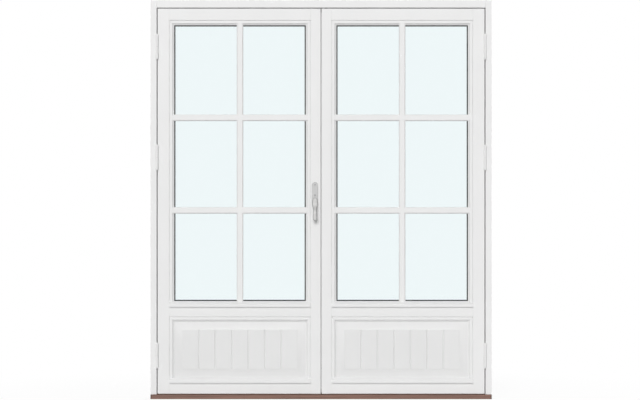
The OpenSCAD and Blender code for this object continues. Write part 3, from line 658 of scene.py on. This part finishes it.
class PATIO_OT_screws(bpy.types.Operator):
    """Drive the screws of the hinges, the handle, the lock and the strikes"""
    bl_idname = "patio.screws"
    bl_label = "Screws"

    def execute(self, context):
        sizes = context.scene.patio_sizes
        colours = context.scene.patio_colours
        steel = brushed_metal("screw_steel", colours.screw, (500, 500, 500), 0.55, 0.7)
        tree = self.screw_tree(steel)
        for body, places in self.places(sizes).items():
            self.drive(body, places, tree, sizes)
        return {"FINISHED"}

    def places(self, sizes):
        """Where the screws sit and which way they face, for each body."""
        found = {"frame": [], "left_leaf": [], "right_leaf": []}
        inset = sizes.screw_inset
        for side, sign in (("left", -1), ("right", 1)):
            leaf_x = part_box(f"{side}_hinge_stile")[0 if sign < 0 else 1].x
            jamb_x = leaf_x + sign * HINGE_GAP
            face_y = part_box(f"{side}_hinge_stile")[0].y
            for line in HINGE_LINES:
                for up, deep in HINGE_SCREWS:
                    found[f"{side}_leaf"].append(((leaf_x, face_y + deep, line + up), (sign, 0, 0)))
                    found["frame"].append(((jamb_x, face_y + deep, line - up), (-sign, 0, 0)))
        for node in ("outside_backplate", "inside_backplate"):
            low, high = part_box(node)
            face_y, facing = (low.y, -1) if node.startswith("outside") else (high.y, 1)
            middle = (low.x + high.x) / 2
            for drop in ((high.x - low.x) / 2, LOWER_SCREW_DROP):
                found["left_leaf"].append(((middle, face_y, high.z - drop), (0, facing, 0)))
        self.on_edge(found["left_leaf"], "lock_faceplate", 1, inset)
        self.on_edge(found["right_leaf"], "strike_plate", -1, inset)
        low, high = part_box("flush_bolt_faceplates")
        for foot in (low.z, high.z - FLUSH_PLATE_H):
            for z in (foot + inset, foot + FLUSH_PLATE_H - inset):
                found["right_leaf"].append(((low.x, (low.y + high.y) / 2, z), (-1, 0, 0)))
        for node, facing in (("head_strike", -1), ("threshold_strike", 1)):
            low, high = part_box(node)
            z = low.z if facing < 0 else high.z
            for y in (low.y + inset, high.y - inset):
                found["frame"].append((((low.x + high.x) / 2, y, z), (0, 0, facing)))
        return found

    def on_edge(self, places, node, facing, inset):
        """A screw at each end of an upright plate in a leaf's meeting edge."""
        low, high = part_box(node)
        x = high.x if facing > 0 else low.x
        for z in (low.z + inset, high.z - inset):
            places.append(((x, (low.y + high.y) / 2, z), (facing, 0, 0)))

    def drive(self, body, places, tree, sizes):
        """One piece with all the screws of a body."""
        mesh = bpy.data.meshes.new(f"{body}_screws")
        mesh.from_pydata([place for place, facing in places], [], [])
        facing = mesh.attributes.new("facing", "FLOAT_VECTOR", "POINT")
        facing.data.foreach_set("vector", [value for place, way in places for value in way])
        piece = new_piece(f"{body}_screws", mesh)
        modifier = piece.modifiers.new("Screws", "NODES")
        modifier.node_group = tree
        values = {"Radius": sizes.screw_radius, "Height": sizes.screw_proud}
        for item in tree.interface.items_tree:
            if item.name in values:
                modifier[item.identifier] = values[item.name]
        flatten(piece)
        if len(piece.data.polygons) < 20 * len(places):
            raise RuntimeError(f"the screws of {body} came out empty")
        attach(piece, body)

    def screw_tree(self, steel):
        """A raised countersunk head with a cross recess on each point, turned at random."""
        tree = bpy.data.node_groups.new("countersunk_screws", "GeometryNodeTree")
        tree.interface.new_socket("Geometry", in_out="INPUT", socket_type="NodeSocketGeometry")
        tree.interface.new_socket("Radius", in_out="INPUT", socket_type="NodeSocketFloat")
        tree.interface.new_socket("Height", in_out="INPUT", socket_type="NodeSocketFloat")
        tree.interface.new_socket("Geometry", in_out="OUTPUT", socket_type="NodeSocketGeometry")
        make = tree.nodes.new
        link = tree.links.new
        start = make("NodeGroupInput")
        end = make("NodeGroupOutput")

        def scaled(value, factor):
            """A value times a factor."""
            node = make("ShaderNodeMath")
            node.operation = "MULTIPLY"
            node.inputs[1].default_value = factor
            link(value, node.inputs[0])
            return node.outputs[0]

        def vector(x, y, z):
            """Three values as one vector."""
            node = make("ShaderNodeCombineXYZ")
            for socket, value in zip(node.inputs, (x, y, z)):
                link(value, socket)
            return node.outputs[0]

        radius = start.outputs["Radius"]
        height = start.outputs["Height"]
        head = make("GeometryNodeMeshCone")
        head.inputs["Vertices"].default_value = SCREW_SIDES
        link(scaled(radius, SCREW_TOP), head.inputs["Radius Top"])
        link(radius, head.inputs["Radius Bottom"])
        link(height, head.inputs["Depth"])
        slots = make("GeometryNodeJoinGeometry")
        for turned in (False, True):
            bar = make("GeometryNodeMeshCube")
            long, narrow = scaled(radius, RECESS_LONG), scaled(radius, RECESS_NARROW)
            wide, tall = (narrow, long) if turned else (long, narrow)
            link(vector(wide, tall, scaled(height, RECESS_DEEP)), bar.inputs["Size"])
            lift = make("GeometryNodeTransform")
            link(vector(scaled(height, 0), scaled(height, 0), height), lift.inputs["Translation"])
            link(bar.outputs["Mesh"], lift.inputs["Geometry"])
            link(lift.outputs["Geometry"], slots.inputs["Geometry"])
        recess = make("GeometryNodeMeshBoolean")
        recess.operation = "DIFFERENCE"
        recess.solver = "EXACT"
        recess.inputs["Self Intersection"].default_value = True
        link(head.outputs["Mesh"], recess.inputs["Mesh 1"])
        link(slots.outputs["Geometry"], recess.inputs["Mesh 2"])
        facing = make("GeometryNodeInputNamedAttribute")
        facing.data_type = "FLOAT_VECTOR"
        facing.inputs["Name"].default_value = "facing"
        align = make("FunctionNodeAlignRotationToVector")
        align.axis = "Z"
        link(facing.outputs["Attribute"], align.inputs["Vector"])
        points = make("GeometryNodeMeshToPoints")
        link(start.outputs["Geometry"], points.inputs["Mesh"])
        place = make("GeometryNodeInstanceOnPoints")
        link(points.outputs["Points"], place.inputs["Points"])
        link(recess.outputs["Mesh"], place.inputs["Instance"])
        link(align.outputs["Rotation"], place.inputs["Rotation"])
        turn = make("FunctionNodeRandomValue")
        turn.data_type = "FLOAT"
        turn.inputs[3].default_value = math.pi / 2
        turn.inputs["Seed"].default_value = TURN_SEED
        spin = make("FunctionNodeAxisAngleToRotation")
        link(turn.outputs[1], spin.inputs["Angle"])
        rotate = make("GeometryNodeRotateInstances")
        link(place.outputs["Instances"], rotate.inputs["Instances"])
        link(spin.outputs["Rotation"], rotate.inputs["Rotation"])
        realize = make("GeometryNodeRealizeInstances")
        link(rotate.outputs["Instances"], realize.inputs["Geometry"])
        finish = make("GeometryNodeSetMaterial")
        finish.inputs["Material"].default_value = steel
        link(realize.outputs["Geometry"], finish.inputs["Geometry"])
        link(finish.outputs["Geometry"], end.inputs["Geometry"])
        return tree


class PATIO_OT_stage(bpy.types.Operator):
    """Set the floor, the lamps, the white surroundings and the camera"""
    bl_idname = "patio.stage"
    bl_label = "Studio"

    def execute(self, context):
        studio = context.scene.patio_studio
        self.surround(context, studio)
        self.floor(studio)
        self.lamp(context, "key_lamp", studio.key_place, studio.key_strength, studio.lamp_spread)
        self.lamp(context, "fill_lamp", studio.fill_place, studio.fill_strength, studio.lamp_spread)
        self.camera(context, studio)
        return {"FINISHED"}

    def seen_white(self, tree):
        """One for rays from the camera, a reflection or glass, and zero for rays that light something."""
        path = tree.nodes.new("ShaderNodeLightPath")
        total = path.outputs["Is Camera Ray"]
        for kind in ("Is Glossy Ray", "Is Transmission Ray"):
            node = tree.nodes.new("ShaderNodeMath")
            node.operation = "MAXIMUM"
            tree.links.new(total, node.inputs[0])
            tree.links.new(path.outputs[kind], node.inputs[1])
            total = node.outputs[0]
        return total

    def surround(self, context, studio):
        """Even room light, seen as plain white."""
        world = bpy.data.worlds.new("white_surround")
        world.use_nodes = True
        tree = world.node_tree
        background = tree.nodes["Background"]
        background.inputs["Color"].default_value = (1, 1, 1, 1)
        level = tree.nodes.new("ShaderNodeMapRange")
        level.inputs["To Min"].default_value = studio.ambient
        level.inputs["To Max"].default_value = 1.0
        tree.links.new(self.seen_white(tree), level.inputs["Value"])
        tree.links.new(level.outputs["Result"], background.inputs["Strength"])
        context.scene.world = world

    def floor(self, studio):
        """Pale floor that keeps the door's shadow and fades to white."""
        mesh = bpy.data.meshes.new("studio_floor")
        reach = FLOOR_REACH
        corners = [(-reach, -reach, 0), (reach, -reach, 0), (reach, reach, 0), (-reach, reach, 0)]
        mesh.from_pydata(corners, [], [(0, 1, 2, 3)])
        plane = new_piece("studio_floor", mesh)
        material, tree, shader = start_material("studio_floor", (FLOOR_TONE, FLOOR_TONE, FLOOR_TONE), 0.8)
        glow = tree.nodes.new("ShaderNodeEmission")
        coordinates = tree.nodes.new("ShaderNodeTexCoord")
        distance = tree.nodes.new("ShaderNodeVectorMath")
        distance.operation = "LENGTH"
        fade = tree.nodes.new("ShaderNodeMapRange")
        fade.interpolation_type = "SMOOTHSTEP"
        fade.inputs["From Min"].default_value = studio.shadow_reach / 3
        fade.inputs["From Max"].default_value = studio.shadow_reach
        fade.inputs["To Min"].default_value = FLOOR_WHITE
        tone = tree.nodes.new("ShaderNodeMapRange")
        tone.inputs["To Min"].default_value = studio.floor_bounce
        tone.inputs["To Max"].default_value = FLOOR_TONE
        share = tree.nodes.new("ShaderNodeMath")
        share.operation = "MULTIPLY"
        mix = tree.nodes.new("ShaderNodeMixShader")
        tree.links.new(coordinates.outputs["Object"], distance.inputs[0])
        tree.links.new(distance.outputs["Value"], fade.inputs["Value"])
        seen = self.seen_white(tree)
        tree.links.new(seen, tone.inputs["Value"])
        tree.links.new(tone.outputs["Result"], shader.inputs["Base Color"])
        tree.links.new(seen, share.inputs[0])
        tree.links.new(fade.outputs["Result"], share.inputs[1])
        tree.links.new(share.outputs[0], mix.inputs["Fac"])
        tree.links.new(shader.outputs["BSDF"], mix.inputs[1])
        tree.links.new(glow.outputs["Emission"], mix.inputs[2])
        tree.links.new(mix.outputs["Shader"], tree.nodes["Material Output"].inputs["Surface"])
        mesh.materials.append(material)

    def lamp(self, context, name, place, strength, spread):
        """A soft lamp that looks at the middle of the door."""
        light = bpy.data.lights.new(name, "SUN")
        light.energy = strength
        light.angle = spread
        stand = bpy.data.objects.new(name, light)
        stand.location = place
        aim = Vector(LAMP_AIM) - stand.location
        stand.rotation_euler = aim.to_track_quat("-Z", "Y").to_euler()
        context.scene.collection.objects.link(stand)

    def camera(self, context, studio):
        """Camera level and square to the outside face."""
        lens = bpy.data.cameras.new("camera")
        lens.sensor_fit = "HORIZONTAL"
        lens.sensor_width = SENSOR
        lens.lens = lens.sensor_width * studio.distance / studio.view_width
        lens.clip_end = CLIP_END
        camera = bpy.data.objects.new("camera", lens)
        face_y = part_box("left_meeting_stile")[0].y
        camera.location = (studio.view_side, face_y - studio.distance, studio.view_height)
        camera.rotation_euler = (math.radians(90), 0, 0)
        context.scene.collection.objects.link(camera)
        context.scene.camera = camera


OPERATORS = (PATIO_OT_timber, PATIO_OT_threshold, PATIO_OT_white_metal, PATIO_OT_glass, PATIO_OT_lock,
             PATIO_OT_handle, PATIO_OT_screws, PATIO_OT_stage)


class PATIO_PT_sidebar(bpy.types.Panel):
    """List the pieces of the door"""
    bl_idname = "PATIO_PT_sidebar"
    bl_label = "Patio door"
    bl_space_type = "VIEW_3D"
    bl_region_type = "UI"
    bl_category = "Patio door"

    def draw(self, context):
        for operator in OPERATORS:
            self.layout.operator(operator.bl_idname)
        for group in ("patio_sizes", "patio_colours", "patio_studio"):
            settings = getattr(context.scene, group)
            for name in settings.__annotations__:
                self.layout.prop(settings, name)


CLASSES = (DoorSizes, DoorColours, StudioSettings, *OPERATORS, PATIO_PT_sidebar)


def register():
    """Add the settings, the operators and the panel to Blender."""
    for kind in CLASSES:
        bpy.utils.register_class(kind)
    bpy.types.Scene.patio_sizes = bpy.props.PointerProperty(type=DoorSizes)
    bpy.types.Scene.patio_colours = bpy.props.PointerProperty(type=DoorColours)
    bpy.types.Scene.patio_studio = bpy.props.PointerProperty(type=StudioSettings)


def unregister():
    """Take them away again."""
    del bpy.types.Scene.patio_studio
    del bpy.types.Scene.patio_colours
    del bpy.types.Scene.patio_sizes
    for kind in reversed(CLASSES):
        bpy.utils.unregister_class(kind)


def main():
    """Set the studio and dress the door."""
    register()
    bpy.context.scene.view_settings.view_transform = "Standard"
    bpy.ops.patio.stage()
    bpy.ops.patio.timber()
    bpy.ops.patio.threshold()
    bpy.ops.patio.white_metal()
    bpy.ops.patio.glass()
    bpy.ops.patio.lock()
    bpy.ops.patio.handle()
    bpy.ops.patio.screws()


if __name__ == "__main__":
    main()
